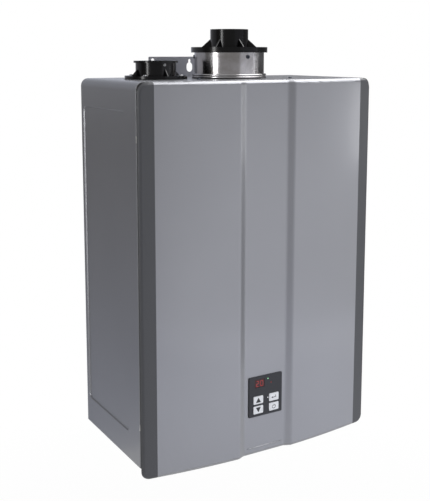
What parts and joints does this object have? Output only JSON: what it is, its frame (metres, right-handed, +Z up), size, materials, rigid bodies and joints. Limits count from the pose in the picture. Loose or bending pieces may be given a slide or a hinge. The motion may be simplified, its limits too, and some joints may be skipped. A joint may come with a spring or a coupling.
{
  "type": "tankless water heater",
  "caption": "Wall-hung condensing tankless gas water heater with a lift-off bowed front cover, a button control panel, a top flue collar and a separate air intake socket.",
  "frame": {"origin": "on the wall plane, on the case's centre line, at the upper bracket's bolt line", "axes": "+Z up, front cover faces -Y, +X to the right of someone who faces the heater"},
  "size_m": [0.47, 0.2559, 0.7597],
  "materials": {
    "silver_paint": "satin silver-grey paint",
    "side_paint": "satin silver-grey paint",
    "charcoal_plastic": "fine satin moulding",
    "bracket_steel": "grey coated steel",
    "galvanised_steel": "bright rolled sheet",
    "zinc_screws": "zinc plated",
    "black_plastic": "glossy moulding",
    "seal_rubber": "foam and rubber seals",
    "stainless_steel": "pressed stainless sheet",
    "copper": "bare copper",
    "brass": "cast and turned brass",
    "cast_aluminium": "die-cast, blasted",
    "motor_steel": "black coated steel",
    "white_plastic": "moulded",
    "grey_plastic": "moulded",
    "board_green": "circuit board",
    "faceplate_grey": "printed film",
    "display_dark": "red filter window",
    "button_white": "moulded keys",
    "ceramic": "glazed ceramic"
  },
  "bodies": {
    "case": {"left_side_panel": "side_paint", "right_side_panel": "side_paint", "top_panel": "side_paint", "bottom_plate": "side_paint", "upper_wall_bracket": "bracket_steel", "lower_wall_bracket": "bracket_steel", "back_plate": "galvanised_steel", "flue_collar": "galvanised_steel", "stack_hangers": "galvanised_steel", "case_fasteners": "zinc_screws", "exhaust_adapter": "black_plastic", "intake_adapter": "black_plastic", "spark_module": "black_plastic", "cable_gland": "black_plastic", "vent_gaskets": "seal_rubber", "condensate_hose": "seal_rubber", "flue_inner_pipe": "stainless_steel", "exhaust_hood": "stainless_steel", "secondary_shell": "stainless_steel", "secondary_tubes": "stainless_steel", "burner_box": "stainless_steel", "burner_bars": "stainless_steel", "inlet_strainer": "stainless_steel", "primary_jacket": "copper", "primary_fins": "copper", "primary_tubes": "copper", "cold_pipe": "copper", "transfer_pipe": "copper", "hot_pipe": "copper", "gas_inlet_fitting": "brass", "cold_inlet_fitting": "brass", "hot_outlet_fitting": "brass", "water_valve_body": "brass", "gas_manifold": "cast_aluminium", "gas_valve_body": "cast_aluminium", "gas_pipe": "cast_aluminium", "fan_housing": "cast_aluminium", "fan_motor": "motor_steel", "condensate_trap": "white_plastic", "flow_sensor_body": "white_plastic", "control_board_case": "grey_plastic", "main_circuit_board": "board_green", "igniter_electrodes": "ceramic"},
    "cover": {"front_cover": "silver_paint", "left_corner_trim": "charcoal_plastic", "right_corner_trim": "charcoal_plastic", "cover_gasket": "seal_rubber", "cover_screws": "zinc_screws", "control_housing": "black_plastic", "control_faceplate": "faceplate_grey", "control_board": "board_green", "display_module": "display_dark"},
    "up_button": {"up_button": "button_white"},
    "down_button": {"down_button": "button_white"},
    "enter_button": {"enter_button": "button_white"},
    "power_button": {"power_button": "button_white"},
    "fan_impeller": {"fan_impeller": "grey_plastic"},
    "flow_turbine": {"flow_turbine": "white_plastic"},
    "water_valve_stem": {"water_valve_stem": "brass"},
    "gas_plunger": {"gas_plunger": "motor_steel"}
  },
  "joints": [
    {"name": "cover_slide", "type": "slide", "parent": "case", "child": "cover", "axis": [0, -1, 0], "range_m": [0, 0.3]},
    {"name": "up_press", "type": "slide", "parent": "cover", "child": "up_button", "axis": [0, 1, 0], "range_m": [0, 0.0008], "stiffness_N_per_m": 800, "springref_m": -0.001},
    {"name": "down_press", "type": "slide", "parent": "cover", "child": "down_button", "axis": [0, 1, 0], "range_m": [0, 0.0008], "stiffness_N_per_m": 800, "springref_m": -0.001},
    {"name": "enter_press", "type": "slide", "parent": "cover", "child": "enter_button", "axis": [0, 1, 0], "range_m": [0, 0.0008], "stiffness_N_per_m": 800, "springref_m": -0.001},
    {"name": "power_press", "type": "slide", "parent": "cover", "child": "power_button", "axis": [0, 1, 0], "range_m": [0, 0.0008], "stiffness_N_per_m": 800, "springref_m": -0.001},
    {"name": "fan_spin", "type": "hinge", "parent": "case", "child": "fan_impeller", "pos_m": [0, -0.115, -0.5365], "axis": [0, -1, 0], "continuous": true},
    {"name": "flow_spin", "type": "hinge", "parent": "case", "child": "flow_turbine", "pos_m": [0.1, -0.1, -0.6138], "axis": [0, 0, 1], "continuous": true},
    {"name": "valve_turn", "type": "hinge", "parent": "case", "child": "water_valve_stem", "pos_m": [0.1, -0.1, -0.5578], "axis": [0, -1, 0], "range_deg": [0, 90]},
    {"name": "plunger_lift", "type": "slide", "parent": "case", "child": "gas_plunger", "axis": [0, 0, 1], "range_m": [0, 0.003], "stiffness_N_per_m": 600, "springref_m": -0.002}
  ]
}
